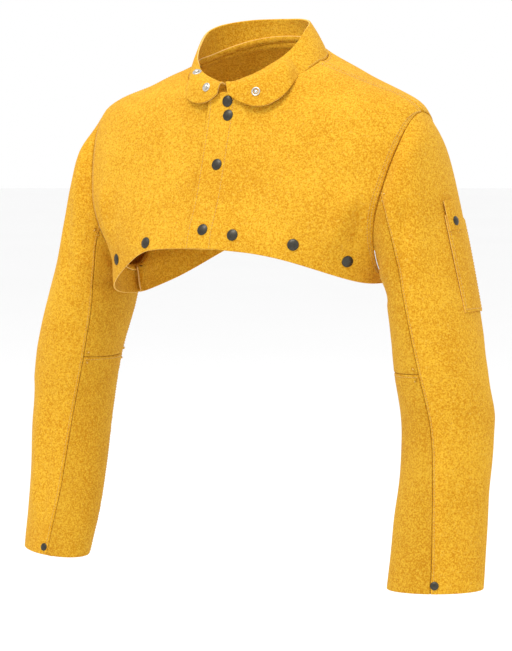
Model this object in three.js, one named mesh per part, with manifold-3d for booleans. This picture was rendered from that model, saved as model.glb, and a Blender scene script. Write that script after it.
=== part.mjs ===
// A cropped leather welding jacket (cape sleeves): torso yoke, standing collar,
// two-piece sleeves with elbow seams, a pen pocket and press snaps.
// Millimetres, +Z up. The wearer faces -Y and the wearer's left is +X.
// The origin is the middle of the neck, level with the sides of the neck seam.
import * as THREE from 'three';
import { mergeVertices } from 'three/addons/utils/BufferGeometryUtils.js';
import Module from 'manifold-3d';

const wasm = await Module();
wasm.setup();

// ---- driving dimensions -------------------------------------------------
const LEATHER = 1.8;            // hide thickness
const COLLAR_THICK = 3.2;       // two hides sewn together
const SEAM_GAP = 0.6;           // clearance between two sewn edges
const PLACKET_HALF = 20;        // half the width of the front lap
const PLACKET_LIFT = 6.4;       // outer face of the lap above the chest surface
const FOLD_X_NECK = 62;         // where the left front folds open, at the neck
const FOLD_X_HEM = 92;          // the same line at the hem
const SIDE_ANGLE = 0.004;       // half the gap at the shoulder and side seams, radians
const ARMHOLE_TOP = new THREE.Vector3(250, 0, -68);
const ARMHOLE_BOTTOM = new THREE.Vector3(205, 0, -282);
const RIGHT_SLEEVE_DROP = 12;   // the right cuff hangs this much lower
const SNAP_R = 7.5;             // press snap cap
const STEM_R = 1.7;
const HOLE_R = 2.1;
const SNAP_SIDES = 10;
// Where the collar stops being sewn down, from the nape.
const TAB_ANGLE = { left: THREE.MathUtils.degToRad(115), right: THREE.MathUtils.degToRad(132) };

// Rings of the torso, from the neck seam to the hem. at: place along the drop;
// a: half width; front, back: half depths; zs, zf, zb: heights at the side,
// front and back; n: roundness of the outline; fall: how gradually the front
// edge drops towards the middle.
const TORSO = {
  at: [0, 0.16, 0.34, 0.6, 0.86, 1],
  a: [96, 160, 248, 262, 215, 200],
  front: [84, 88, 99, 119, 138, 143],
  back: [74, 96, 106, 113, 110, 108],
  zs: [-3, -28, -68, -175, -262, -292],
  zf: [-45, -70, -112, -180, -228, -247],
  zb: [26, -6, -60, -150, -225, -246],
  n: [2.2, 2.1, 2.05, 2.4, 2.6, 2.65],
  fall: [1, 1.5, 2, 2, 2, 2],
};

// Stations of the left sleeve, from the armhole to the cuff: the outermost
// point, the innermost point and half the front-to-back depth.
const SLEEVE = [
  { outer: [251, 0, -68.5], inner: [206, 0, -282.5], depth: 77 },
  { outer: [268, -1, -105], inner: [211, -1, -292], depth: 79 },
  { outer: [288, -4, -170], inner: [215, -4, -304], depth: 77 },
  { outer: [306, -8, -235], inner: [219, -7, -321], depth: 75 },
  { outer: [326, -11, -310], inner: [223, -10, -346], depth: 73 },
  { outer: [348, -19, -396], inner: [231, -21, -402], depth: 63 },
  { outer: [358, -15, -478], inner: [242, -29, -482], depth: 54 },
  { outer: [360, -23, -586], inner: [242, -53, -590], depth: 46 },
  { outer: [361, -37, -670], inner: [245, -79, -674], depth: 38 },
];
const ELBOW = 5;                // the station of the elbow seam
const RIGHT_HEM_DROP = 27;      // how much lower the hem hangs at the right side seam
const CUFF = 8;
const BACK_SEAM = 140;          // where the under panel starts, degrees round the sleeve
const FRONT_SEAM = {            // where it ends, at the armhole, elbow and cuff
  left: [270, 270, 270],
  right: [240, 224, 245],
};

// Height of the collar's rim, by degrees from the nape.
const RIM = { at: [0, 30, 60, 80, 90, 103, 116, 134, 151, 180], z: [56, 55, 49, 41, 34, 19, 6, -8, -20, -34] };
// The free lower edge of a collar tab, from where the sewing ends to its tip:
// distance from the middle, height, and how far it stands off the chest.
const FREE_EDGE = {
  left: {
    at: [0, 0.15, 0.32, 0.5, 0.68, 0.85, 1],
    x: [89, 91, 85, 70, 52, 29, 10],
    z: [-18, -37, -50, -60, -62, -56, -45],
    stand: [5, 8, 10, 11, 13, 14.5, 14.5],
  },
  right: {
    at: [0, 0.15, 0.32, 0.5, 0.68, 0.85, 1],
    x: [71, 66, 57, 45, 31, 16, 3],
    z: [-32, -44, -52, -57, -58, -54, -45],
    stand: [5, 8, 10, 11.5, 13, 14.5, 14.5],
  },
};
const TAB_BULGE = 7;            // how far a collar tab rolls up between its two edges
const COLLAR_RISE = 1.6;        // the collar stands this far above the neck edge
const TAB_GAP = 4;              // between a tab and the sewn-down band

const SUEDE = { color: 0xefb235, roughness: 0.95, metalness: 0 };
const SUEDE_UNDER = { color: 0xdba238, roughness: 0.9, metalness: 0 };
const CAP_METAL = { color: 0x3f3d38, roughness: 0.45, metalness: 0.8 };
const NICKEL = { color: 0xb9b7ae, roughness: 0.3, metalness: 1 };

const jacket = new THREE.Group();
const deg = THREE.MathUtils.degToRad;

// ---- curves and surfaces --------------------------------------------------
// A smooth curve through the values at the given places.
function smooth(at, values, t) {
  const last = at.length - 1;
  const x = Math.min(Math.max(t, at[0]), at[last]);
  let i = 0;
  while (i < last - 1 && x > at[i + 1]) i += 1;
  const slope = (k) => {
    const lo = Math.max(k - 1, 0);
    const hi = Math.min(k + 1, last);
    return (values[hi] - values[lo]) / (at[hi] - at[lo]);
  };
  const h = at[i + 1] - at[i];
  const u = (x - at[i]) / h;
  const u2 = u * u;
  const u3 = u2 * u;
  return (2 * u3 - 3 * u2 + 1) * values[i] + (u3 - 2 * u2 + u) * h * slope(i)
    + (3 * u2 - 2 * u3) * values[i + 1] + (u3 - u2) * h * slope(i + 1);
}

const bend = (value, power) => Math.sign(value) * Math.abs(value) ** power;

// A point of the torso. angle: 0 at the left side, -90 degrees at the front.
function torsoPoint(angle, t) {
  const ring = (key) => smooth(TORSO.at, TORSO[key], t);
  const c = Math.cos(angle);
  const s = Math.sin(angle);
  const power = 2 / ring('n');
  const share = Math.abs(s) ** (s < 0 ? ring('fall') : 1.4);
  const z = ring('zs') + (ring(s < 0 ? 'zf' : 'zb') - ring('zs')) * share;
  return new THREE.Vector3(ring('a') * bend(c, power), ring(s < 0 ? 'front' : 'back') * bend(s, power), z);
}

// The angle of the front surface where the torso is x from the middle.
function frontAngle(x, t) {
  const share = x / smooth(TORSO.at, TORSO.a, t);
  return -Math.acos(bend(share, smooth(TORSO.at, TORSO.n, t) / 2));
}

const foldX = (t) => FOLD_X_NECK + (FOLD_X_HEM - FOLD_X_NECK) * t;

// A point of a sleeve. place: station number; around: degrees, 0 outermost, 90 back.
function sleevePoint(side, place, around) {
  const at = SLEEVE.map((_, i) => i);
  const value = (pick) => smooth(at, SLEEVE.map(pick), place);
  const outer = new THREE.Vector3(value((k) => k.outer[0]), value((k) => k.outer[1]), value((k) => k.outer[2]));
  const inner = new THREE.Vector3(value((k) => k.inner[0]), value((k) => k.inner[1]), value((k) => k.inner[2]));
  const depth = value((k) => k.depth);
  const across = outer.clone().sub(inner).multiplyScalar(0.5);
  const middle = outer.clone().add(inner).multiplyScalar(0.5);
  const back = new THREE.Vector3(-across.y, across.x, 0).normalize();
  if (place < 1) back.set(0, 1, 0);
  const a = deg(around);
  const point = middle.addScaledVector(across, Math.cos(a)).addScaledVector(back, depth * Math.sin(a));
  if (side === 'right') {
    point.x = -point.x;
    point.z -= RIGHT_SLEEVE_DROP * Math.max(place - 1, 0) / (CUFF - 1);
  }
  return point;
}

// The share of the torso's drop at which the front surface, x from the middle,
// reaches height z.
function dropAt(x, z) {
  let low = 0;
  let high = 1;
  for (let i = 0; i < 30; i += 1) {
    const middle = (low + high) / 2;
    if (torsoPoint(frontAngle(x, middle), middle).z > z) low = middle;
    else high = middle;
  }
  return low;
}

const chest = (x, t) => torsoPoint(frontAngle(x, t), t);

// Collar rim and foot at an angle from the nape.
function collarRim(phi) {
  const c = Math.cos(phi);
  const turn = Math.abs(THREE.MathUtils.radToDeg(phi));
  return new THREE.Vector3((phi < 0 ? 83 : 77) * Math.sin(phi) - 8 + 10 * ((1 - c) / 2) ** 2, (c > 0 ? 70 : 80) * c, smooth(RIM.at, RIM.z, turn));
}

function collarFoot(phi) {
  const side = phi > 0 ? 'left' : 'right';
  const sewn = torsoPoint(Math.PI / 2 - Math.sign(phi) * Math.min(Math.abs(phi), TAB_ANGLE[side]), 0);
  sewn.z += COLLAR_RISE;
  if (Math.abs(phi) <= TAB_ANGLE[side]) return sewn;
  const along = (Math.abs(phi) - TAB_ANGLE[side]) / (Math.PI - TAB_ANGLE[side]);
  const edge = FREE_EDGE[side];
  const x = smooth(edge.at, edge.x, along);
  const z = smooth(edge.at, edge.z, along);
  const y = chest(x, dropAt(x, z)).y - smooth(edge.at, edge.stand, along);
  return sewn.lerp(new THREE.Vector3(x * Math.sign(phi), y, z), THREE.MathUtils.smoothstep(along, 0, 0.15));
}

// ---- solids ----------------------------------------------------------------
// Rows of points from a function of two shares, each 0 to 1.
function grid(rows, columns, point) {
  return Array.from({ length: rows + 1 }, (_, i) => Array.from({ length: columns + 1 },
    (__, j) => point(j / columns, i / rows)));
}

// The grid moved along its own normals by a distance that may vary.
function offset(points, distance) {
  const rows = points.length - 1;
  const columns = points[0].length - 1;
  return points.map((row, i) => row.map((p, j) => {
    const along = row[Math.min(j + 1, columns)].clone().sub(row[Math.max(j - 1, 0)]);
    const down = points[Math.min(i + 1, rows)][j].clone().sub(points[Math.max(i - 1, 0)][j]);
    const normal = along.cross(down).normalize();
    return p.clone().addScaledVector(normal, typeof distance === 'number' ? distance : distance(p));
  }));
}

function geometryOf(vertices, triangles) {
  const geometry = new THREE.BufferGeometry();
  geometry.setAttribute('position', new THREE.Float32BufferAttribute(vertices, 3));
  geometry.setIndex(triangles);
  return geometry;
}

// A closed sheet between two grids of points that face each other.
function sheetBetween(front, back) {
  const rows = front.length;
  const columns = front[0].length;
  const vertices = [...front.flat(), ...back.flat()].flatMap((p) => p.toArray());
  const top = (i, j) => i * columns + j;
  const low = (i, j) => rows * columns + i * columns + j;
  const triangles = [];
  const quad = (a, b, c, d) => triangles.push(a, b, c, a, c, d);
  for (let i = 0; i < rows - 1; i += 1) {
    for (let j = 0; j < columns - 1; j += 1) {
      quad(top(i, j), top(i, j + 1), top(i + 1, j + 1), top(i + 1, j));
      quad(low(i, j), low(i + 1, j), low(i + 1, j + 1), low(i, j + 1));
    }
  }
  for (let j = 0; j < columns - 1; j += 1) {
    quad(top(0, j), low(0, j), low(0, j + 1), top(0, j + 1));
    quad(top(rows - 1, j), top(rows - 1, j + 1), low(rows - 1, j + 1), low(rows - 1, j));
  }
  for (let i = 0; i < rows - 1; i += 1) {
    quad(top(i, 0), top(i + 1, 0), low(i + 1, 0), low(i, 0));
    quad(top(i, columns - 1), low(i, columns - 1), low(i + 1, columns - 1), top(i + 1, columns - 1));
  }
  return geometryOf(vertices, triangles);
}

function toManifold(geometry) {
  const plain = geometry.clone();
  plain.deleteAttribute('normal');
  plain.deleteAttribute('uv');
  const merged = mergeVertices(plain, 1e-4);
  const mesh = new wasm.Mesh({
    numProp: 3,
    vertProperties: new Float32Array(merged.attributes.position.array),
    triVerts: new Uint32Array(merged.index.array),
  });
  const solid = new wasm.Manifold(mesh);
  if (solid.volume() > 0) return solid;
  const turned = new Uint32Array(merged.index.array).map((_, i, all) => all[i - (i % 3) + 2 - (i % 3)]);
  return new wasm.Manifold(new wasm.Mesh({ numProp: 3, vertProperties: mesh.vertProperties, triVerts: turned }));
}

function fromManifold(solid) {
  const mesh = solid.getMesh();
  return geometryOf(Array.from(mesh.vertProperties), Array.from(mesh.triVerts));
}

function addMesh(name, geometry, finish) {
  geometry.computeVertexNormals();
  const mesh = new THREE.Mesh(geometry, new THREE.MeshStandardMaterial(finish));
  mesh.name = name;
  jacket.add(mesh);
  return mesh;
}

// The half space outside an armhole, as a large closed box.
function outsideArmhole(side) {
  const size = 600;
  const lean = Math.atan2(ARMHOLE_TOP.x - ARMHOLE_BOTTOM.x, ARMHOLE_TOP.z - ARMHOLE_BOTTOM.z);
  const box = new THREE.BoxGeometry(size, size, size * 2);
  box.translate(size / 2 - SEAM_GAP / 2, 0, 0);
  box.rotateY(lean);
  const middle = ARMHOLE_TOP.clone().add(ARMHOLE_BOTTOM).multiplyScalar(0.5);
  box.translate(middle.x, middle.y, middle.z);
  if (side === 'left') return toManifold(box);
  box.rotateZ(Math.PI);
  return toManifold(box);
}

// ---- snaps -----------------------------------------------------------------
// Lathe profiles along the snap's axis: 0 is the outer face of the leather it
// is set in, and plus is outwards. rise: clearance of a flat disc from a curved hide.
const point2 = (r, y) => new THREE.Vector2(r, y);

function capProfile(leather, rise = 0.6) {
  return [point2(0, -leather - rise - 1.1), point2(STEM_R, -leather - rise - 1.1), point2(STEM_R, rise),
    point2(SNAP_R, rise), point2(SNAP_R, rise + 0.7), point2(SNAP_R * 0.8, rise + 1.6), point2(0, rise + 2.2)];
}

function socketProfile(leather, rise = 0.6) {
  const top = -leather - rise;
  return [point2(STEM_R + 0.3, top), point2(5.2, top), point2(5.2, top - 2.3), point2(3.4, top - 2.3),
    point2(3.4, top - 1.4), point2(STEM_R + 0.3, top - 1.4), point2(STEM_R + 0.3, top)].reverse();
}

function studProfile(leather, rise = 0.3) {
  const foot = -leather - rise - 0.1;
  return [point2(0, foot - 0.8), point2(5, foot - 0.8), point2(5, foot), point2(STEM_R, foot),
    point2(STEM_R, rise), point2(4.6, rise), point2(4.6, rise + 0.7), point2(2.4, rise + 0.7),
    point2(2.9, rise + 2), point2(0, rise + 2.3)];
}

function lathe(profile) {
  const geometry = new THREE.LatheGeometry(profile, SNAP_SIDES);
  geometry.deleteAttribute('normal');
  geometry.deleteAttribute('uv');
  return mergeVertices(geometry, 1e-4);
}

// A place on a sheet: its point, its outward normal, and how far the sheet's
// outer face stands off.
function placeOn(surface, u, v, lift = 0) {
  const step = 0.01;
  const here = surface(u, v);
  const along = surface(u + step, v).sub(surface(u - step, v));
  const down = surface(u, v + step).sub(surface(u, v - step));
  const normal = along.cross(down).normalize();
  if (normal.dot(new THREE.Vector3(here.x, here.y, 0)) < 0) normal.negate();
  return { point: here.addScaledVector(normal, lift), normal };
}

function setOn(mesh, place, shift = 0) {
  mesh.quaternion.setFromUnitVectors(new THREE.Vector3(0, 1, 0), place.normal);
  mesh.position.copy(place.point).addScaledVector(place.normal, shift);
}

function addSnap(name, place, profile, finish, shift = 0) {
  setOn(addMesh(name, lathe(profile), finish), place, shift);
}

function drilled(solid, places) {
  return places.reduce((left, place) => {
    const drill = new THREE.CylinderGeometry(HOLE_R, HOLE_R, 30, SNAP_SIDES);
    const holder = new THREE.Object3D();
    setOn(holder, place);
    holder.updateMatrix();
    drill.applyMatrix4(holder.matrix);
    return left.subtract(toManifold(drill));
  }, solid);
}

// ---- where the snaps are -----------------------------------------------------
// How far the left front's outer face stands off the chest surface at x.
const lapLift = (x) => PLACKET_LIFT * (1 - THREE.MathUtils.smoothstep(x, PLACKET_HALF + 1, PLACKET_HALF + 19));
const chestPlace = (x, z, lift) => placeOn(chest, x, dropAt(x, z), lift);

// The placket snaps, by x and z: a little to the left of the middle.
const PLACKET_SNAPS = [[9, -57], [12, -75], [6, -139], [6, -222]];
const placketPlaces = PLACKET_SNAPS.map(([x, z]) => chestPlace(x, z, PLACKET_LIFT));
const studPlaces = PLACKET_SNAPS.map(([x, z]) => chestPlace(x, z, 0));
const HEM_SNAPS = { right_outer: [-156, -268], right_inner: [-91, -241], left_inner: [48, -228],
  left_middle: [131, -239], left_outer: [188, -260] };
const hemPlaces = Object.fromEntries(Object.entries(HEM_SNAPS)
  .map(([name, [x, z]]) => [name, chestPlace(x, z, Math.abs(x) < 100 ? lapLift(Math.max(x, 0)) * (x > 0) : 0)]));

// ---- torso panels --------------------------------------------------------------
// The jacket hangs lower on the right: its hem drops towards the right side seam.
function hang(point, t) {
  const share = THREE.MathUtils.smoothstep(-point.x, 80, 190) * THREE.MathUtils.smoothstep(t, 0.93, 1);
  point.z -= RIGHT_HEM_DROP * share;
  return point;
}

function torsoSheet(rows, columns, surface, outerLift, thickness = LEATHER) {
  const base = grid(rows, columns, (u, t) => hang(surface(u, t), t));
  const probe = offset(base, 1)[2][2];
  const away = Math.sign(Math.hypot(probe.x, probe.y) - Math.hypot(base[2][2].x, base[2][2].y));
  const lift = (p) => away * (typeof outerLift === 'number' ? outerLift : outerLift(p.x));
  const outer = offset(base, lift);
  const inner = offset(base, (p) => lift(p) - away * thickness);
  return toManifold(sheetBetween(outer, inner));
}

const bySide = { left: outsideArmhole('left'), right: outsideArmhole('right') };

const back = torsoSheet(12, 18, (u, t) => torsoPoint(SIDE_ANGLE + (Math.PI - 2 * SIDE_ANGLE) * u, t), 0)
  .subtract(bySide.left).subtract(bySide.right);
addMesh('back_panel', fromManifold(back), SUEDE);

const rightFront = torsoSheet(12, 12, (u, t) => {
  const start = -Math.PI + SIDE_ANGLE;
  return torsoPoint(start + (frontAngle(PLACKET_HALF, t) - start) * u, t);
}, 0).subtract(bySide.right);
addMesh('right_front_panel', fromManifold(drilled(rightFront,
  [...studPlaces, hemPlaces.right_outer, hemPlaces.right_inner])), SUEDE);

const leftFront = torsoSheet(12, 8, (u, t) => {
  const start = frontAngle(foldX(t) + SEAM_GAP, t);
  return torsoPoint(start + (-SIDE_ANGLE - start) * u, t);
}, 0).subtract(bySide.left);
addMesh('left_front_panel', fromManifold(drilled(leftFront,
  [hemPlaces.left_middle, hemPlaces.left_outer])), SUEDE);

const flap = torsoSheet(12, 8, (u, t) => chest(-PLACKET_HALF + (foldX(t) + PLACKET_HALF) * u, t), lapLift);
addMesh('left_front_flap', fromManifold(drilled(flap, [...placketPlaces, hemPlaces.left_inner])), SUEDE);

const facing = torsoSheet(12, 2, (u, t) => chest(-PLACKET_HALF + 2 * PLACKET_HALF * u, 0.02 + 0.96 * t),
  -LEATHER - 0.7);
addMesh('placket_facing', fromManifold(drilled(facing, studPlaces)), SUEDE_UNDER);

// ---- collar -----------------------------------------------------------------------
function collarSurface(from, to) {
  return (u, v) => {
    const phi = from + (to - from) * u;
    const start = TAB_ANGLE[phi > 0 ? 'left' : 'right'];
    const roll = TAB_BULGE * THREE.MathUtils.smoothstep(Math.abs(phi), start, start + 0.2);
    const rolled = new THREE.Vector3(Math.sin(phi) * 0.4, Math.cos(phi) * 0.4, 1);
    return collarRim(phi).lerp(collarFoot(phi), v).addScaledVector(rolled, roll * Math.sin(Math.PI * v));
  };
}

function collarSheet(rows, columns, from, to) {
  const base = grid(rows, columns, collarSurface(from, to));
  const half = COLLAR_THICK / 2;
  return toManifold(sheetBetween(offset(base, half), offset(base, -half)));
}

const endGap = TAB_GAP / 80;
const frontEnd = Math.PI - 0.03;
const leftTabSurface = collarSurface(TAB_ANGLE.left + endGap, frontEnd);
const rightTabSurface = collarSurface(-TAB_ANGLE.right - endGap, -frontEnd);
const collarPlaces = {
  left_socket: placeOn(leftTabSurface, 0.64, 0.72, COLLAR_THICK / 2),
  right_stud_front: placeOn(rightTabSurface, 0.76, 0.62, COLLAR_THICK / 2),
  right_stud_side: placeOn(rightTabSurface, 0.26, 0.2, COLLAR_THICK / 2),
};
addMesh('collar_band', fromManifold(collarSheet(3, 24, -TAB_ANGLE.right, TAB_ANGLE.left)), SUEDE);
addMesh('collar_left_tab', fromManifold(drilled(collarSheet(6, 10, TAB_ANGLE.left + endGap, frontEnd),
  [collarPlaces.left_socket])), SUEDE);
addMesh('collar_right_tab', fromManifold(drilled(collarSheet(6, 10, -TAB_ANGLE.right - endGap, -frontEnd),
  [collarPlaces.right_stud_front, collarPlaces.right_stud_side])), SUEDE);

// ---- sleeves ------------------------------------------------------------------------
function seamAngle(side, place) {
  return smooth([0, ELBOW, CUFF], FRONT_SEAM[side], place);
}

// from and to: places along the sleeve; under: the under-arm panel or the outer one.
function sleeveSheet(side, under, from, to, rows) {
  const gap = 0.5;
  const base = grid(rows, under ? 8 : 14, (u, v) => {
    const place = from + (to - from) * v;
    const start = under ? BACK_SEAM + gap : seamAngle(side, place) + gap - 360;
    const end = under ? seamAngle(side, place) - gap : BACK_SEAM - gap;
    return sleevePoint(side, place, start + (end - start) * u);
  });
  const inwards = side === 'left' ? LEATHER : -LEATHER;
  return toManifold(sheetBetween(base, offset(base, inwards)));
}

const sleeveSurface = (side) => (around, place) => sleevePoint(side, place, around * 100);
const cuffPlaces = {
  left: placeOn(sleeveSurface('left'), -0.84, CUFF - 0.12),
  right: placeOn(sleeveSurface('right'), -1.08, CUFF - 0.12),
};
const POCKET = { from: 2.48, to: 4.15, start: -14, end: 34 };
const POCKET_TAB = { from: 2.2, to: 2.78, start: -13, end: 9 };
const pocketStand = LEATHER + 0.4;
const tabSnap = placeOn(sleeveSurface('left'), -0.02, POCKET_TAB.to - 0.16, 2 * pocketStand + 2);

for (const side of ['left', 'right']) {
  const split = SEAM_GAP / 85;
  const drill = side === 'left' ? [tabSnap] : [];
  const outerUpper = drilled(sleeveSheet(side, false, 0.012, ELBOW - split, 10), drill);
  addMesh(`${side}_sleeve_outer_upper`, fromManifold(outerUpper), SUEDE);
  addMesh(`${side}_sleeve_under_upper`, fromManifold(sleeveSheet(side, true, 0.012, ELBOW - split, 10)), SUEDE_UNDER);
  const outerLower = drilled(sleeveSheet(side, false, ELBOW + split, CUFF, 6), [cuffPlaces[side]]);
  addMesh(`${side}_sleeve_outer_lower`, fromManifold(outerLower), SUEDE);
  const underLower = drilled(sleeveSheet(side, true, ELBOW + split, CUFF, 6), [cuffPlaces[side]]);
  addMesh(`${side}_sleeve_under_lower`, fromManifold(underLower), SUEDE_UNDER);
  addSnap(`${side}_cuff_snap_cap`, cuffPlaces[side], capProfile(LEATHER, 1.2), CAP_METAL);
  addSnap(`${side}_cuff_snap_socket`, cuffPlaces[side], socketProfile(LEATHER, 1.2), NICKEL);
}

// ---- pen pocket ------------------------------------------------------------------------
function patchOnSleeve({ from, to, start, end }, rows, columns, lift) {
  const base = grid(rows, columns, (u, v) => sleevePoint('left', from + (to - from) * v, start + (end - start) * u));
  return toManifold(sheetBetween(offset(base, -lift), offset(base, LEATHER - lift)));
}

const pocketBody = patchOnSleeve(POCKET, 6, 4, pocketStand);
addMesh('pen_pocket', fromManifold(drilled(pocketBody, [tabSnap])), SUEDE);
const pocketTab = patchOnSleeve(POCKET_TAB, 3, 2, 2 * pocketStand + 2);
addMesh('pen_pocket_tab', fromManifold(drilled(pocketTab, [tabSnap])), SUEDE);
addSnap('pen_pocket_snap_cap', tabSnap, capProfile(LEATHER), CAP_METAL);

// ---- placket, hem and collar snaps --------------------------------------------------------
PLACKET_SNAPS.forEach((_, i) => {
  addSnap(`placket_snap_cap_${i + 1}`, placketPlaces[i], capProfile(LEATHER), CAP_METAL);
  addSnap(`placket_snap_socket_${i + 1}`, placketPlaces[i], socketProfile(LEATHER), NICKEL);
  addSnap(`placket_snap_stud_${i + 1}`, studPlaces[i], studProfile(2 * LEATHER + 0.8), NICKEL);
});
for (const [name, place] of Object.entries(hemPlaces)) {
  addSnap(`hem_snap_cap_${name}`, place, capProfile(LEATHER, 1.3), CAP_METAL);
  addSnap(`hem_snap_socket_${name}`, place, socketProfile(LEATHER, 1), NICKEL);
}
for (const [name, place] of Object.entries(collarPlaces)) {
  addSnap(`collar_${name}`, place, studProfile(COLLAR_THICK, 1.1), NICKEL);
}

export default jacket;
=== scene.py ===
import math

import bpy
import numpy as np
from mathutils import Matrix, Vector


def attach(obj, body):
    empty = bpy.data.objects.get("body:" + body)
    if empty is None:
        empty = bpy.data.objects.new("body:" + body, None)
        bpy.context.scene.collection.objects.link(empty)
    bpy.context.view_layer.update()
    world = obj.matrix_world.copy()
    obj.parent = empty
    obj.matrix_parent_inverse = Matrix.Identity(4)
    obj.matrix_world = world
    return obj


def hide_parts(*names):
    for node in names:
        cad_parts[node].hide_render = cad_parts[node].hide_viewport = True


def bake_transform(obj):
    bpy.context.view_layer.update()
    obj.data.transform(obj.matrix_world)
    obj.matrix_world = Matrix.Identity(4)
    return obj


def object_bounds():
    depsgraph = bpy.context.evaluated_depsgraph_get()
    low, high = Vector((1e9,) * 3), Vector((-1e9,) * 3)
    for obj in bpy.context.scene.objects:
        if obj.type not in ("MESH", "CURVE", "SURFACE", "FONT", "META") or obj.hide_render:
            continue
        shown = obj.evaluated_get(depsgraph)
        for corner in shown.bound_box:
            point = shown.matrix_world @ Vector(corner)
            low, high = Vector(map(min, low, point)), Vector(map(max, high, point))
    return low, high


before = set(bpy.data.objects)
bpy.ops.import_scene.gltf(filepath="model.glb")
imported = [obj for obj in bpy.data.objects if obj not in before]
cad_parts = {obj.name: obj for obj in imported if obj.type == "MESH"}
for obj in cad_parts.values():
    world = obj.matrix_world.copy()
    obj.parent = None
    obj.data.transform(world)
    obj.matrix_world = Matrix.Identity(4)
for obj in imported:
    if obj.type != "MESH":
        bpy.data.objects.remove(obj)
cad_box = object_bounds()

bl_info = {
    "name": "Leather Welding Jacket",
    "version": (1, 0, 0),
    "blender": (4, 5, 0),
    "location": "3D View > Sidebar > Jacket",
    "description": "Builds the leather, stitching and snaps of a cropped welding jacket",
    "category": "Object",
}

MM = 0.001
RNG_SEED = 7

# ---- the pattern, in millimetres, as the frame has it ----
PLACKET_HALF = 20
ARMHOLE_TOP = (250.0, -68.0)
ARMHOLE_BOTTOM = (205.0, -282.0)
RIGHT_DROP, RIGHT_HEM_DROP = 12, 27
# The collar is sewn down as far as this angle from the nape; the rest is free.
TAB_ANGLE = {"left": math.radians(115), "right": math.radians(132)}
TORSO = {
    "at": (0, 0.16, 0.34, 0.6, 0.86, 1),
    "a": (96, 160, 248, 262, 215, 200),
    "front": (84, 88, 99, 119, 138, 143),
    "back": (74, 96, 106, 113, 110, 108),
    "zs": (-3, -28, -68, -175, -262, -292),
    "zf": (-45, -70, -112, -180, -228, -247),
    "zb": (26, -6, -60, -150, -225, -246),
    "n": (2.2, 2.1, 2.05, 2.4, 2.6, 2.65),
    "fall": (1, 1.5, 2, 2, 2, 2),
}
# Sleeve stations: outermost point, innermost point, half depth.
SLEEVE = (
    ((251, 0, -68.5), (206, 0, -282.5), 77),
    ((268, -1, -105), (211, -1, -292), 79),
    ((288, -4, -170), (215, -4, -304), 77),
    ((306, -8, -235), (219, -7, -321), 75),
    ((326, -11, -310), (223, -10, -346), 73),
    ((348, -19, -396), (231, -21, -402), 63),
    ((358, -15, -478), (242, -29, -482), 54),
    ((360, -23, -586), (242, -53, -590), 46),
    ((361, -37, -670), (245, -79, -674), 38),
)
ELBOW, CUFF = 5, 8
SPLIT = 4.5
BACK_SEAM = 140
FRONT_SEAM = {"left": (270, 270, 270), "right": (240, 224, 245)}
RIM = ((0, 30, 60, 80, 90, 103, 116, 134, 151, 180), (56, 55, 49, 41, 34, 19, 6, -8, -20, -34))
# The tabs' lower edges by share: from the middle, height, stand off the chest.
FREE_EDGE = {
    "left": ((0, 0.15, 0.32, 0.5, 0.68, 0.85, 1), (89, 91, 85, 70, 52, 29, 10),
             (-18, -37, -50, -60, -62, -56, -45), (4, 6, 8, 9, 10, 11, 11)),
    "right": ((0, 0.15, 0.32, 0.5, 0.68, 0.85, 1), (71, 66, 57, 45, 31, 16, 3),
              (-32, -44, -52, -57, -58, -54, -45), (4, 6, 8, 9, 10, 11, 11)),
}
HEM_SNAPS = {"right_outer": (-156, -268), "right_inner": (-91, -241), "left_inner": (48, -228),
             "left_middle": (131, -239), "left_outer": (188, -260)}
PLACKET_SNAPS = ((9, -57), (12, -75), (6, -139), (6, -222))


# ---- settings ----
class JacketSizes(bpy.types.PropertyGroup):
    leather: bpy.props.FloatProperty(
        name="Leather", description="Thickness of one hide", default=0.0018, unit="LENGTH")
    collar: bpy.props.FloatProperty(
        name="Collar", description="Thickness of the doubled collar", default=0.0034,
        unit="LENGTH")
    lap: bpy.props.FloatProperty(
        name="Lap", description="How far the left front stands off", default=0.0048,
        unit="LENGTH")
    stitch: bpy.props.FloatProperty(
        name="Stitch", description="Length of one stitch", default=0.0030, unit="LENGTH")
    thread: bpy.props.FloatProperty(
        name="Thread", description="Thickness of the sewing thread", default=0.0008,
        unit="LENGTH")


class JacketColours(bpy.types.PropertyGroup):
    suede: bpy.props.FloatVectorProperty(
        name="Suede", description="The golden split leather", subtype="COLOR", size=3,
        default=(0.66, 0.335, 0.018))
    # Under sleeve: a smoother hide, and its darker colour is painted shade of the inner sleeve.
    under_suede_painted_shade: bpy.props.FloatVectorProperty(
        name="Under sleeve", description="Smoother hide", subtype="COLOR", size=3,
        default=(0.57, 0.29, 0.016))
    thread: bpy.props.FloatVectorProperty(
        name="Thread", description="Sewing thread", subtype="COLOR", size=3,
        default=(0.62, 0.36, 0.08))
    cap: bpy.props.FloatVectorProperty(
        name="Snap cap", description="Dark gunmetal snap caps", subtype="COLOR", size=3,
        default=(0.035, 0.032, 0.026))


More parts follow.
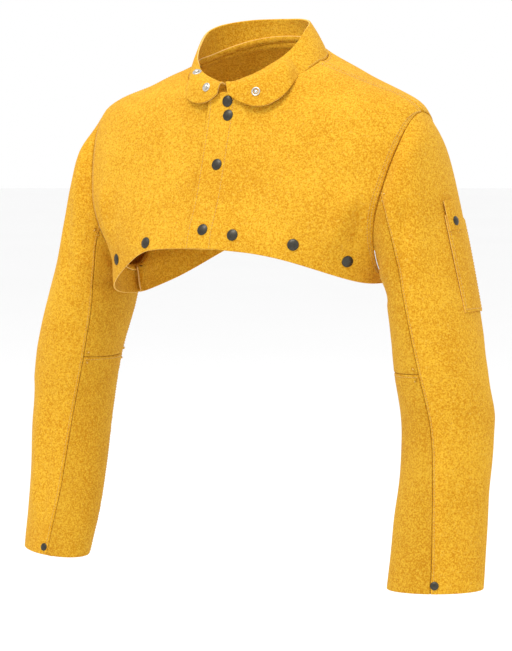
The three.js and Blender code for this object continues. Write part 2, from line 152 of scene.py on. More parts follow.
# ---- shader expressions ----
class Shade:
    """A socket whose arithmetic adds nodes to its tree."""

    def __init__(self, tree, socket):
        self.tree, self.socket = tree, socket

    def node(self, kind, settings=None, out=0, **values):
        """Add a node; i0, i1 and so on are its sockets by number, other words by name."""
        made = self.tree.nodes.new(kind)
        for key, value in (settings or {}).items():
            setattr(made, key, value)
        for key, value in values.items():
            name = int(key[1:]) if key[0] == "i" and key[1:].isdigit() else key.replace("_", " ")
            if isinstance(value, Shade):
                self.tree.links.new(value.socket, made.inputs[name])
            elif value is not None:
                made.inputs[name].default_value = value
        return Shade(self.tree, made.outputs[out])

    def maths(self, operation, a, b=None):
        return self.node("ShaderNodeMath", {"operation": operation}, i0=a, i1=b)

    def __add__(self, other):
        return self.maths("ADD", self, other)

    def __sub__(self, other):
        return self.maths("SUBTRACT", self, other)

    def __mul__(self, other):
        return self.maths("MULTIPLY", self, other)

    __radd__ = __add__
    __rmul__ = __mul__

    def __rsub__(self, other):
        return self.maths("SUBTRACT", other, self)

    def clamp(self):
        return self.node("ShaderNodeClamp", None, i0=self)

    def mix(self, low, high):
        """Self as the factor between two colours."""
        return self.node("ShaderNodeMix", {"data_type": "RGBA"}, 2, i0=self, i6=low, i7=high)


def new_material(name):
    material = bpy.data.materials.new(name)
    material.use_nodes = True
    tree = material.node_tree
    shader = next(n for n in tree.nodes if n.type == "BSDF_PRINCIPLED")
    place = Shade(tree, tree.nodes.new("ShaderNodeTexCoord").outputs["Object"])
    return material, shader, place


def feed(shader, name, value):
    value.tree.links.new(value.socket, shader.inputs[name])


def noise(place, scale, detail=3.0, rough=0.55):
    return place.node("ShaderNodeTexNoise", Vector=place, Scale=scale, Detail=detail,
                      Roughness=rough)


def rough_up(shader, height, strength, depth):
    """Feed a height to the shader's normal as a bump this deep, in metres."""
    bump = height.node("ShaderNodeBump", Strength=strength, Distance=depth, Height=height)
    feed(shader, "Normal", bump)


def rgba(colour, gain=1.0):
    return (colour[0] * gain, colour[1] * gain, colour[2] * gain, 1.0)


def suede_material(name, colour, nap=1.0):
    """Split leather: cloudy dye, short mottled nap and pale scuffed flecks."""
    material, shader, place = new_material(name)
    cloud = noise(place, 14, 4)
    mottle = noise(place, 260, 4, 0.62)
    grain = noise(place, 520, 2, 0.5)
    tone = ((cloud * 0.6 + mottle * 1.0 + grain * 1.4 - 1.5) * 1.8 + 0.5).clamp()
    base = tone.mix(rgba((colour[0] * 0.80, colour[1] * 0.66, colour[2] * 0.3)),
                    rgba((colour[0] * 1.13, colour[1] * 1.25, colour[2] * 1.6)))
    fleck = ((noise(place, 330, 2, 0.5) - 0.56) * 5.0).clamp() * 0.45 * nap
    base = fleck.mix(base, rgba((colour[0] * 1.15, colour[1] * 1.4, colour[2] * 4.0)))
    feed(shader, "Base Color", base)
    feed(shader, "Roughness", mottle * 0.2 + 0.8)
    height = mottle * 0.6 + grain * 0.55 + noise(place, 1500, 2) * 0.3
    rough_up(shader, height, 0.55 * nap, 0.0012)
    shader.inputs["Sheen Weight"].default_value = 0.12
    shader.inputs["Sheen Roughness"].default_value = 0.6
    shader.inputs["Sheen Tint"].default_value = (1.0, 0.8, 0.3, 1.0)
    shader.inputs["Specular IOR Level"].default_value = 0.08
    return material


def cut_edge_material(colour):
    """The paler fibres that show where the hide is cut."""
    material, shader, place = new_material("suede_cut_edge")
    fibres = noise(place, 700, 4, 0.7)
    feed(shader, "Base Color", fibres.mix(rgba((colour[0], colour[1] * 0.95, colour[2] * 2.0)),
                                          rgba((0.93, 0.68, 0.27))))
    feed(shader, "Roughness", fibres * 0.1 + 0.88)
    rough_up(shader, fibres, 0.6, 0.0006)
    shader.inputs["Specular IOR Level"].default_value = 0.1
    return material


def thread_material(colour):
    material, shader, place = new_material("waxed_thread")
    twist = noise(place, 1800, 2)
    feed(shader, "Base Color", twist.mix(rgba(colour, 0.7), rgba(colour, 1.25)))
    feed(shader, "Roughness", twist * 0.2 + 0.5)
    return material


def metal_material(name, dark, light, rough, bump, metallic=1.0):
    """Plated or painted snap metal with fine handling marks."""
    material, shader, place = new_material(name)
    wear = noise(place, 240, 5, 0.65)
    speck = noise(place, 1300, 2)
    feed(shader, "Base Color", wear.mix(rgba(dark), rgba(light)))
    feed(shader, "Roughness", wear * 0.25 + rough)
    rough_up(shader, speck, bump, 0.0004)
    shader.inputs["Metallic"].default_value = metallic
    return material


def floor_material():
    material, shader, place = new_material("pale_floor")
    cloud = noise(place, 0.6, 2)
    feed(shader, "Base Color", cloud.mix(rgba((0.93, 0.93, 0.93)), rgba((0.96, 0.96, 0.96))))
    shader.inputs["Roughness"].default_value = 0.9
    return material


CAP_WORN = (0.10, 0.095, 0.08)
NICKEL_DULL, NICKEL_BRIGHT = (0.45, 0.43, 0.38), (0.75, 0.73, 0.68)
MATERIALS = {}
SURFACES = {}     # the outer faces made so far, which snaps and stitches are set on
MIDDLES = {}      # a point inside each sleeve hide, which its outer face looks away from


def material_named(name):
    """Make each finish once, from the colours in the panel."""
    if name not in MATERIALS:
        colours = bpy.context.scene.jacket_colours
        makers = {
            "suede": lambda: suede_material("golden_suede", colours.suede),
            # The under-sleeve copy of the suede: a smoother nap, and a darker colour that is painted
            # shade.
            "under_suede_painted_shade": lambda: suede_material("under_sleeve_suede_painted_shade", colours.under_suede_painted_shade, 0.7),
            "cut_edge": lambda: cut_edge_material(colours.suede),
            "thread": lambda: thread_material(colours.thread),
            "cap": lambda: metal_material("gunmetal_cap", colours.cap, CAP_WORN, 0.3, 0.25),
            "nickel": lambda: metal_material("nickel_snap", NICKEL_DULL, NICKEL_BRIGHT, 0.18, 0.1),
            "floor": floor_material,
        }
        MATERIALS[name] = makers[name]()
    return MATERIALS[name]


# ---- surfaces ----
def smooth(at, values, t):
    """A smooth curve through values at the given places; values may be points."""
    at = np.asarray(at, float)
    values = np.asarray(values, float)
    x = np.clip(t, at[0], at[-1])
    i = np.clip(np.searchsorted(at, x, side="right") - 1, 0, len(at) - 2)
    low = np.maximum(np.arange(len(at)) - 1, 0)
    high = np.minimum(np.arange(len(at)) + 1, len(at) - 1)
    span = (at[high] - at[low]).reshape(-1, *([1] * (values.ndim - 1)))
    slopes = (values[high] - values[low]) / span
    h = at[i + 1] - at[i]
    u = (x - at[i]) / h
    if values.ndim > 1:
        h, u = h[..., None], u[..., None]
    return ((2 * u**3 - 3 * u**2 + 1) * values[i] + (u**3 - 2 * u**2 + u) * h * slopes[i]
            + (3 * u**2 - 2 * u**3) * values[i + 1] + (u**3 - u**2) * h * slopes[i + 1])


def bend(value, power):
    return np.sign(value) * np.abs(value) ** power


def step(value, low, high):
    u = np.clip((np.asarray(value, float) - low) / (high - low), 0, 1)
    return u * u * (3 - 2 * u)


def torso(angle, t):
    """Points of the torso; angle 0 is the wearer's left side, -90 degrees the front."""
    angle, t = np.broadcast_arrays(np.asarray(angle, float), np.asarray(t, float))
    ring = {key: smooth(TORSO["at"], TORSO[key], t) for key in TORSO if key != "at"}
    c, s = np.cos(angle), np.sin(angle)
    c = np.where(np.abs(c) < 1e-9, 0, c)
    ahead = s < 0
    power = 2 / ring["n"]
    z_middle = np.where(ahead, ring["zf"], ring["zb"])
    share = np.abs(s) ** np.where(ahead, ring["fall"], 1.4)
    z = ring["zs"] + (z_middle - ring["zs"]) * share
    y = np.where(ahead, ring["front"], ring["back"]) * bend(s, power)
    return np.stack([ring["a"] * bend(c, power), y, z], -1)


def front_angle(x, t):
    share = np.clip(np.asarray(x, float) / smooth(TORSO["at"], TORSO["a"], t), -1, 1)
    return -np.arccos(bend(share, smooth(TORSO["at"], TORSO["n"], t) / 2))


def chest(x, t):
    return torso(front_angle(x, t), t)


def drop_at(x, z):
    low, high = np.zeros(np.shape(z)), np.ones(np.shape(z))
    for _ in range(30):
        middle = (low + high) / 2
        above = chest(x, middle)[..., 2] > z
        low, high = np.where(above, middle, low), np.where(above, high, middle)
    return low


def armhole_plane_x(z):
    lean = (ARMHOLE_TOP[0] - ARMHOLE_BOTTOM[0]) / (ARMHOLE_TOP[1] - ARMHOLE_BOTTOM[1])
    return ARMHOLE_TOP[0] + (z - ARMHOLE_TOP[1]) * lean


def beyond_armhole(angle, t):
    point = torso(angle, t)
    return point[..., 0] - armhole_plane_x(point[..., 2])


def armhole_ends():
    """The shares of the drop at which the side line enters and leaves the armhole."""
    t = np.linspace(0, 1, 4001)
    out = beyond_armhole(np.zeros_like(t), t) > 0
    inside = t[out]
    return inside[0], inside[-1]


ARM_START, ARM_END = armhole_ends()


def side_limit(t, sign):
    """The angle of the side or armhole edge; sign is -1 in front and 1 behind."""
    t = np.asarray(t, float)
    near, far = np.zeros_like(t), np.full_like(t, math.radians(80))
    for _ in range(40):
        middle = (near + far) / 2
        out = beyond_armhole(sign * middle, t) > 0
        near, far = np.where(out, middle, near), np.where(out, far, middle)
    return sign * np.where((t > ARM_START) & (t < ARM_END), near, 0.0)


def torso_rows():
    """Shares of the drop, close together where the armhole begins and ends."""
    round_arm = (1 - np.cos(np.linspace(0, np.pi, 46))) / 2
    top = np.concatenate([[0, 0.003, 0.008, 0.015], np.linspace(0.025, ARM_START, 18)[:-1]])
    arm = ARM_START + (ARM_END - ARM_START) * round_arm
    low = np.concatenate([np.linspace(ARM_END, 0.985, 8)[1:], [0.991, 0.996, 1.0]])
    return np.concatenate([top, arm, low[low > ARM_END + 1e-4]])


def shares(count, fine):
    """Shares from 0 to 1 with extra ones close to both ends."""
    edge = np.array([0, 0.22, 0.5, 0.8, 1.2, 1.8]) * fine
    return np.concatenate([edge, np.linspace(3 * fine, 1 - 3 * fine, count), 1 - edge[::-1]])


def armhole_ring(around):
    """Points of the armhole edge, by degrees: 0 at the top, 90 behind."""
    t = ARM_START + (ARM_END - ARM_START) * (1 - np.cos(np.linspace(0, np.pi, 400))) / 2
    middle_z = (ARMHOLE_TOP[1] + ARMHOLE_BOTTOM[1]) / 2
    half_z = (ARMHOLE_TOP[1] - ARMHOLE_BOTTOM[1]) / 2
    loop = np.concatenate([torso(side_limit(t, -1), t)[::-1], torso(side_limit(t, 1), t)[1:]])
    turn = np.unwrap(np.arctan2(loop[:, 1] / SLEEVE[0][2], (loop[:, 2] - middle_z) / half_z))
    turn -= 2 * np.pi * round(turn[400] / (2 * np.pi))
    wanted = (np.radians(around) + np.pi) % (2 * np.pi) - np.pi
    order = np.argsort(turn)
    return np.stack([np.interp(wanted, turn[order], loop[order, k]) for k in range(3)], -1)


def sleeve(side, place, around):
    """Points of a sleeve; place counts stations, around is degrees with 90 behind."""
    place, around = np.broadcast_arrays(np.asarray(place, float), np.asarray(around, float))
    a = np.radians(around)
    rings = [armhole_ring(around)]
    for outer, inner, depth in SLEEVE[1:]:
        outer, inner = np.array(outer, float), np.array(inner, float)
        across, middle = (outer - inner) / 2, (outer + inner) / 2
        back = np.array([-across[1], across[0], 0]) / math.hypot(across[0], across[1])
        rings.append(middle + np.cos(a)[..., None] * across + np.sin(a)[..., None] * depth * back)
    rings = np.stack(rings).reshape(len(SLEEVE), -1, 3)
    points = through_stations(rings, place.ravel()).reshape(*place.shape, 3)
    if side == "right":
        points = points * (-1, 1, 1)
        points[..., 2] -= RIGHT_DROP * np.clip(place - 1, 0, None) / (CUFF - 1)
    return points


def through_stations(values, t):
    """Each column of values, one row to a station, interpolated at its own t."""
    last = len(values) - 1
    i = np.clip(np.floor(t).astype(int), 0, last - 1)
    column = np.arange(len(t))

    def pick(k):
        return values[np.clip(k, 0, last), column]

    def slope(k):
        span = np.minimum(k + 1, last) - np.maximum(k - 1, 0)
        return (pick(k + 1) - pick(k - 1)) / span[:, None]

    u = (t - i)[:, None]
    return ((2 * u**3 - 3 * u**2 + 1) * pick(i) + (u**3 - 2 * u**2 + u) * slope(i)
            + (3 * u**2 - 2 * u**3) * pick(i + 1) + (u**3 - u**2) * slope(i + 1))


def collar(phi, v):
    """Points of the collar; phi from the nape, v 0 at the rim and 1 at the foot."""
    phi, v = np.broadcast_arrays(np.asarray(phi, float), np.asarray(v, float))
    c, s = np.cos(phi), np.sin(phi)
    rim = np.stack([np.where(phi < 0, 83, 77) * s - 8 + 10 * ((1 - c) / 2) ** 2,
                    np.where(c > 0, 70, 80) * c,
                    smooth(RIM[0], RIM[1], np.abs(np.degrees(phi)))], -1)
    tab_start = np.where(phi > 0, TAB_ANGLE["left"], TAB_ANGLE["right"])
    held = np.sign(phi) * np.minimum(np.abs(phi), tab_start)
    foot = torso(np.pi / 2 - held, np.zeros_like(held)) - (0, 0, 1.4)
    along = np.clip((np.abs(phi) - tab_start) / (np.pi - tab_start), 0, 1)
    edges = {side: [smooth(edge[0], values, along) for values in edge[1:]]
             for side, edge in FREE_EDGE.items()}
    x, z, stand = (np.where(phi > 0, *pair) for pair in zip(edges["left"], edges["right"]))
    y = chest(x, drop_at(x, z))[..., 1] - stand
    free = np.stack([x * np.sign(phi), y, z], -1)
    foot = foot + (free - foot) * step(along, 0, 0.15)[..., None]
    points = rim + (foot - rim) * v[..., None]
    roll = 7 * step(np.abs(phi) - tab_start, 0, 0.2) + 1.5
    lift = np.stack([s * 0.4, c * 0.4, np.ones_like(s)], -1)
    return points + lift * (roll * np.sin(np.pi * v))[..., None]


# ---- meshes ----
def unit(vectors):
    return vectors / np.maximum(np.linalg.norm(vectors, axis=-1, keepdims=True), 1e-9)


def grid_normals(points, outward):
    down, along = np.gradient(points, axis=0), np.gradient(points, axis=1)
    normals = unit(np.cross(along, down))
    middle = normals.shape[0] // 2, normals.shape[1] // 2
    return normals if normals[middle] @ outward(points[middle]) > 0 else -normals


def waves(points, length, seed):
    """A smooth random height of about plus or minus one, with bumps of this length."""
    draw = np.random.default_rng(RNG_SEED + seed)
    total = np.zeros(points.shape[:-1])
    for _ in range(9):
        direction = unit(draw.normal(size=3))
        total += np.sin(points @ direction * (2 * np.pi / (length * draw.uniform(0.7, 1.5)))
                        + draw.uniform(0, 6.28))
    return total / 3.2


def fold(points, start, end, width, height):
    """A soft ridge or crease along a line, fading at its ends."""
    start, end = np.array(start, float), np.array(end, float)
    line = end - start
    share = (points - start) @ line / (line @ line)
    nearest = start + np.clip(share, 0, 1)[..., None] * line
    distance = np.linalg.norm(points - nearest, axis=-1)
    fade = step(share, -0.05, 0.3) * (1 - step(share, 0.7, 1.05))
    return height * np.exp(-(distance / width) ** 2) * fade


def edge_distance(points, side):
    """How far each grid point is from one edge of the grid, along the grid."""
    axis, reverse = {"top": (0, 1), "bottom": (0, -1), "start": (1, 1), "end": (1, -1)}[side]
    ordered = np.flip(points, axis) if reverse < 0 else points
    steps = np.linalg.norm(np.diff(ordered, axis=axis), axis=-1)
    pad = [(1, 0), (0, 0)] if axis == 0 else [(0, 0), (1, 0)]
    distance = np.cumsum(np.pad(steps, pad), axis=axis)
    return np.flip(distance, axis) if reverse < 0 else distance


def edge_shape(points, edges, seed):
    """Turned-in seams with a faint pucker beside them."""
    height = np.zeros(points.shape[:2])
    pucker = waves(points, 17, seed)
    for side, kind in edges.items():
        if kind != "sewn":
            continue
        d = edge_distance(points, side)
        near = np.clip(1 - d / 2.6, 0, 1)
        height -= 2.3 * (1 - np.sqrt(1 - near**2 * 0.98))
        height += 0.45 * pucker * np.exp(-d / 9) * step(d, 1, 4)
        height -= 0.5 * np.exp(-((d - 5.5) / 1.2) ** 2)
    return height


def leather_grid(points, normals, thickness, edges):
    """Both faces of a hide, with a rounded ring added outside every free edge."""
    middle = points - normals * thickness / 2
    half = np.full(points.shape[:2], thickness / 2)
    for side, axis, at, inner in (("top", 0, 0, 1), ("bottom", 0, -1, -2),
                                  ("start", 1, 0, 1), ("end", 1, -1, -2)):
        if edges[side] == "joint":
            continue
        edge, beside = np.take(middle, [at], axis), np.take(middle, [inner], axis)
        facing, rim = np.take(normals, [at], axis), np.take(half, [at], axis)
        away = unit(edge - beside - facing * ((edge - beside) * facing).sum(-1, keepdims=True))
        if edges[side] == "sewn":
            rings = [(edge - away * 0.7 - facing * 2.4, unit(away + facing * 0.5), rim),
                     (edge - away * 0.8 - facing * 7.5, away, rim)]
        else:
            rings = [(edge + away * thickness * 0.3, facing, rim * 0.45)]
        for ring, normal, girth in rings:
            order = (ring, middle) if at == 0 else (middle, ring)
            middle = np.concatenate(order, axis)
            half = np.concatenate((girth, half) if at == 0 else (half, girth), axis)
            normals = np.concatenate((normal, normals) if at == 0 else (normals, normal), axis)
    return middle + normals * half[..., None], middle - normals * half[..., None]


def new_object(name, vertices, faces, materials, face_materials=None, sharp=None):
    mesh = bpy.data.meshes.new(name)
    mesh.from_pydata((np.asarray(vertices) * MM).tolist(), [], faces)
    for material in materials:
        mesh.materials.append(material)
    if face_materials is not None:
        mesh.polygons.foreach_set("material_index", np.asarray(face_materials, dtype=np.int32))
    mesh.shade_smooth()
    if sharp:
        wanted = {frozenset(pair) for pair in sharp}
        flags = [frozenset(edge.vertices) in wanted for edge in mesh.edges]
        mesh.attributes.new("sharp_edge", "BOOLEAN", "EDGE").data.foreach_set("value", flags)
    mesh.validate()
    piece = bpy.data.objects.new(name, mesh)
    bpy.context.collection.objects.link(piece)
    return piece


def leather_piece(name, points, thickness, edges, outward, finish="suede", seed=0, height=None):
    """A closed hide over a grid of points: outer face, inner face and edges."""
    edges = {"top": "cut", "bottom": "cut", "start": "cut", "end": "cut", **edges}
    normals = grid_normals(points, outward)
    rise = edge_shape(points, edges, seed) + 0.5 * waves(points, 95, seed + 1)
    if height is not None:
        rise = rise + height
    surface = points + normals * rise[..., None]
    outer, inner = leather_grid(surface, grid_normals(surface, outward), thickness, edges)
    rows, columns = outer.shape[:2]
    top = np.arange(rows * columns).reshape(rows, columns)
    low = top + rows * columns
    corner = outer[0, 0]
    turned = np.cross(outer[1, 0] - corner, outer[0, 1] - corner) @ (corner - inner[0, 0]) > 0
    faces, kinds, sharp = [], [], []

    def quads(a, b, c, d, kind):
        quad = np.stack([a, b, c, d], -1).reshape(-1, 4)
        faces.extend((quad[:, ::-1] if turned else quad).tolist())
        kinds.extend([kind] * len(quad))

    quads(top[:-1, :-1], top[:-1, 1:], top[1:, 1:], top[1:, :-1], 0)
    quads(low[:-1, :-1], low[1:, :-1], low[1:, 1:], low[:-1, 1:], 0)
    quads(top[0, :-1], low[0, :-1], low[0, 1:], top[0, 1:], 1)
    quads(top[-1, :-1], top[-1, 1:], low[-1, 1:], low[-1, :-1], 1)
    quads(top[:-1, 0], top[1:, 0], low[1:, 0], low[:-1, 0], 1)
    quads(top[:-1, -1], low[:-1, -1], low[1:, -1], top[1:, -1], 1)
    borders = {"top": (0, slice(None)), "bottom": (-1, slice(None)), "start": (slice(None), 0),
               "end": (slice(None), -1)}
    for side, where in borders.items():
        if edges[side] == "joint":
            for sheet in (top, low):
                line = sheet[where]
                sharp.extend(zip(line[:-1].tolist(), line[1:].tolist()))
    vertices = np.concatenate([outer.reshape(-1, 3), inner.reshape(-1, 3)])
    finishes = [material_named(finish), material_named("cut_edge")]
    piece = new_object(name, vertices, faces, finishes, kinds, sharp)
    return piece, surface


def spaced_along(points, spacing, *also):
    """The same line with a point every spacing, and anything given along it."""
    lengths = np.concatenate([[0], np.cumsum(np.linalg.norm(np.diff(points, axis=0), axis=1))])
    places = np.arange(spacing / 2, lengths[-1], spacing)
    return [np.stack([np.interp(places, lengths, each[:, k]) for k in range(3)], -1)
            for each in (points, *also)]


# A stitch's rings: place along it by its length, rise and girth by the thread's.
STITCH_PROFILE = ((-0.5, -0.55, 0.5), (-0.4, 0.1, 0.95), (0, 0.28, 1.0), (0.4, 0.1, 0.95),
                  (0.5, -0.55, 0.5))
STITCH_PITCH = 1.32     # from one stitch to the next, by the length of one


def stitch_line(name, lines):
    """Rows of stitches, each a short bar that dips into the leather at its ends."""
    sizes = bpy.context.scene.jacket_sizes
    long, thick = sizes.stitch / MM, sizes.thread / MM
    vertices, faces = [], []
    profile, sides = STITCH_PROFILE, 6
    for line, normals in lines:
        middles, ups = spaced_along(line, long * STITCH_PITCH, normals)
        if len(middles) < 2:
            continue
        ups, alongs = unit(ups), unit(np.gradient(middles, axis=0))
        for middle, up, along in zip(middles, ups, alongs):
            across = np.cross(up, along)
            base = len(vertices)
            for place, rise, girth in profile:
                centre = middle + along * place * long + up * rise * thick
                for k in range(sides):
                    a = 2 * math.pi * k / sides
                    ring = across * math.cos(a) + up * math.sin(a)
                    vertices.append(centre + ring * thick * girth / 2)
            for level in range(len(profile) - 1):
                for k in range(sides):
                    a, b = base + level * sides + k, base + level * sides + (k + 1) % sides
                    faces.append((a, a + sides, b + sides, b))
            faces.append(tuple(base + k for k in range(sides)))
            end = base + (len(profile) - 1) * sides
            faces.append(tuple(end + k for k in reversed(range(sides))))
    return new_object(name, vertices, faces, [material_named("thread")])


def seam_lines(surface, side, distances, outward, first=0, last=None):
    """Lines along one edge of a grid, each a set distance in from it, with their normals."""
    normals = grid_normals(surface, outward)
    distance = edge_distance(surface, side)
    along_rows = side in ("start", "end")
    found = []
    for wanted in distances:
        line, up = [], []
        count = surface.shape[0] if along_rows else surface.shape[1]
        for i in range(count)[first:last]:
            d = distance[i] if along_rows else distance[:, i]
            row = surface[i] if along_rows else surface[:, i]
            facing = normals[i] if along_rows else normals[:, i]
            order = np.argsort(d)
            line.append([np.interp(wanted, d[order], row[order, k]) for k in range(3)])
            up.append([np.interp(wanted, d[order], facing[order, k]) for k in range(3)])
        found.append((np.array(line), np.array(up)))
    return found


def lathe(name, profile, place, normal, materials, bands=None, sides=40):
    """A turned piece: profile points are radius and height along the normal."""
    normal = unit(np.asarray(normal, float))
    across = unit(np.cross(normal, (0, 0, 1) if abs(normal[2]) < 0.9 else (1, 0, 0)))
    other = np.cross(normal, across)
    turn = np.linspace(0, 2 * np.pi, sides, endpoint=False)
    ring = np.cos(turn)[:, None] * across + np.sin(turn)[:, None] * other
    vertices = [place + normal * profile[0][1]]
    for radius, height in profile[1:-1]:
        vertices.extend(place + normal * height + ring * radius)
    vertices.append(place + normal * profile[-1][1])
    faces, kinds = [], []
    kind = (lambda k: 0 if bands is None else bands[k])
    for k in range(sides):
        faces.append((0, 1 + (k + 1) % sides, 1 + k))
        kinds.append(kind(0))
    for level in range(len(profile) - 3):
        a = 1 + level * sides
        for k in range(sides):
            b = (k + 1) % sides
            faces.append((a + k, a + b, a + sides + b, a + sides + k))
            kinds.append(kind(level + 1))
    last, base = len(vertices) - 1, 1 + (len(profile) - 3) * sides
    for k in range(sides):
        faces.append((base + k, base + (k + 1) % sides, last))
        kinds.append(kind(len(profile) - 2))
    return new_object(name, np.array(vertices), faces, materials, kinds)


def from_axis(point):
    return np.array([point[0], point[1], 0.0])


# ---- joints, given as points; the pieces are only baked in place ----
FOLD_LINE = (77.0, -107.5, -144.0)      # the middle of the left front's fold line
FOLD_ACROSS, FOLD_REACH = (0.99, 0.0, 0.138), 24
ARMHOLE_MIDDLE, ARMHOLE_OUT, SHOULDER_REACH = (227.0, 0.0, -175.0), (0.9786, 0.0, -0.2058), 38
ELBOW_TOP, ELBOW_LOW = (290.0, -20.0, -378.0), (290.0, -20.0, -426.0)
RIGHT_ELBOW_DROP = 6
TAB_BEND = (0.02, 0.36)                 # from the end of the sewing, in radians about the neck


def mirrored(point, side, drop=0.0):
    """A point of the left side as metres on the side asked for."""
    right = side == "right"
    return np.array([-point[0] if right else point[0], point[1], point[2] - drop * right]) * MM


def ride_torso(piece):
    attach(piece, "torso")


def bend_between(piece, start, end):
    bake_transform(piece)


def bend_front(piece):
    """The left front is baked in place; its line from the neck to the hem is given but not used."""
    middle, across = np.array(FOLD_LINE), np.array(FOLD_ACROSS) * FOLD_REACH
    bend_between(piece, (middle + across) * MM, (middle - across) * MM)


def bend_shoulder(piece, side):
    """The sleeve piece is baked in place; its points at the armhole are given but not used."""
    end = np.array(ARMHOLE_MIDDLE) + np.array(ARMHOLE_OUT) * SHOULDER_REACH
    bend_between(piece, mirrored(ARMHOLE_MIDDLE, side),
                 mirrored(end, side))


def bend_elbow(piece, side):
    bend_between(piece,
                 mirrored(ELBOW_TOP, side, RIGHT_ELBOW_DROP),
                 mirrored(ELBOW_LOW, side, RIGHT_ELBOW_DROP))


def bend_tab(piece, side):
    sign = 1 if side == "left" else -1
    start, end = (collar(sign * (TAB_ANGLE[side] + turn), 0.5) * MM for turn in TAB_BEND)
    bend_between(piece, start, end)


# ---- operators ----
FLOOR_BELOW, FLOOR_RADIUS = 0.25, 30
# Name, place, size across in metres and power in watts.
LAMPS = (("key", (-0.5, -2.0, 2.9), 1.0, 62), ("fill", (2.4, -1.2, 0.8), 1.8, 6),
         ("rim", (0.6, 2.6, 1.6), 1.8, 12), ("top", (0.3, -0.7, 1.9), 0.5, 9))
CAMERA_LENS, CAMERA_SHIFT = 122.9, -0.0046


class JACKET_OT_stage(bpy.types.Operator):
    """Add the pale floor, the soft studio light and the camera"""
    bl_idname = "jacket.stage"
    bl_label = "Stage"

    def execute(self, context):
        scene = context.scene
        scene.view_settings.view_transform = "Standard"
        world = bpy.data.worlds.new("studio")
        scene.world = world
        world.use_nodes = True
        background = next(n for n in world.node_tree.nodes if n.type == "BACKGROUND")
        background.inputs["Color"].default_value = (1, 1, 1, 1)
        background.inputs["Strength"].default_value = 1.0
        floor_z = cad_box[0][2] - FLOOR_BELOW
        bpy.ops.mesh.primitive_circle_add(vertices=64, radius=FLOOR_RADIUS, fill_type="NGON",
                                          location=(0, 0, floor_z))
        floor = context.object
        floor.name = "floor"
        floor.data.materials.append(material_named("floor"))
        for name, place, size, power in LAMPS:
            light = bpy.data.lights.new(name, "AREA")
            light.size, light.energy = size, power
            lamp = bpy.data.objects.new(name, light)
            lamp.location = place
            aim = -np.array(place) + (0, 0, -0.3)
            lamp.rotation_euler = look_along(aim)
            context.collection.objects.link(lamp)
        self.camera(context)
        return {"FINISHED"}

    @staticmethod
    def camera(context):
        azimuth, elevation, distance = math.radians(33), math.radians(5), 3.0
        look_at = np.array([0.0, 0.0, -0.357])
        level = math.cos(elevation)
        away = np.array([math.sin(azimuth) * level, -math.cos(azimuth) * level,
                         math.sin(elevation)])
        data = bpy.data.cameras.new("camera")
        data.lens, data.sensor_width = CAMERA_LENS, 36
        data.shift_x = CAMERA_SHIFT
        camera = bpy.data.objects.new("camera", data)
        camera.location = look_at + away * distance
        camera.rotation_euler = look_along(-away)
        context.collection.objects.link(camera)
        context.scene.camera = camera


def look_along(vector):
    return Vector(vector).to_track_quat("-Z", "Y").to_euler()


def hang(points, t):
    """The jacket hangs lower towards its right side seam."""
    drop = RIGHT_HEM_DROP * step(-points[..., 0], 80, 190) * step(t, ARM_END, 1)
    return points - drop[..., None] * np.array([0, 0, 1])


def half_front(side, t, u):
    """A front from 20 mm past the middle to the side seam and armhole."""
    start = front_angle(-PLACKET_HALF, t)[:, None]
    end = side_limit(t, -1)[:, None]
    points = torso(start + (end - start) * u[None, :], t[:, None])
    return points if side == "left" else hang(points * (-1, 1, 1), t[:, None])


FRONT_FOLDS = (
    # start, end, width, height; x is measured outwards from the middle
    ((196, -88, -165), (176, -112, -262), 15, 6.5),
    ((206, -80, -190), (200, -90, -255), 7, -4.0),
    ((150, -95, -95), (205, -70, -150), 22, 2.2),
    ((60, -125, -200), (120, -128, -240), 20, -1.8),
)


class JACKET_OT_torso(bpy.types.Operator):
    """Make the back, the two fronts and the facing behind the snaps"""
    bl_idname = "jacket.torso"
    bl_label = "Torso"

    def execute(self, context):
        sizes = context.scene.jacket_sizes
        leather, lap = sizes.leather / MM, sizes.lap / MM
        t = torso_rows()
        u = shares(56, 0.012)
        for side in ("left", "right"):
            base = half_front(side, t, u)
            folded = base * (1 if side == "left" else -1, 1, 1)
            height = sum(fold(folded, *each) for each in FRONT_FOLDS)
            height = height * step(edge_distance(base, "end"), 3, 26)
            near_hem = 1 - step(edge_distance(base, "bottom"), 0, 60)
            height = height + 2.0 * near_hem * waves(base, 120, 3)
            if side == "left":
                over = lap * (1 - step(base[..., 0], PLACKET_HALF + 2, PLACKET_HALF + 32))
                dimple = sum(np.exp(-((base[..., 0] - x) ** 2 + (base[..., 2] - z) ** 2) / 200)
                             for x, z in PLACKET_SNAPS)
                height = height + over - 0.9 * dimple
            edges = {"top": "sewn", "end": "sewn"}
            piece, surface = leather_piece(f"{side}_front_hide", base, leather, edges, from_axis,
                                           seed=11, height=height)
            SURFACES[f"{side}_front"] = surface
            if side == "left":
                bend_front(piece)
                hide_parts("left_front_panel", "left_front_flap")
            else:
                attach(piece, "torso")
                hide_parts("right_front_panel")
        limit = side_limit(t, 1)[:, None]
        around = limit + (np.pi - 2 * limit) * shares(90, 0.008)[None, :]
        base = hang(torso(around, t[:, None]), t[:, None])
        edges = {"top": "sewn", "start": "sewn", "end": "sewn"}
        back, surface = leather_piece("back_hide", base, leather, edges, from_axis, seed=23)
        SURFACES["back"] = surface
        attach(back, "torso")
        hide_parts("back_panel")
        rows = np.linspace(0.02, 0.985, 60)[:, None]
        strip = chest(np.linspace(-PLACKET_HALF, PLACKET_HALF, 12)[None, :], rows)
        normals = grid_normals(strip, from_axis)
        # The facing reuses the under-sleeve suede, whose darker colour is painted shade.
        facing, _ = leather_piece("placket_facing_strip", strip - normals * (leather + 0.5),
                                  leather, {}, from_axis, "under_suede_painted_shade", 31)
        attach(facing, "torso")
        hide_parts("placket_facing")
        return {"FINISHED"}


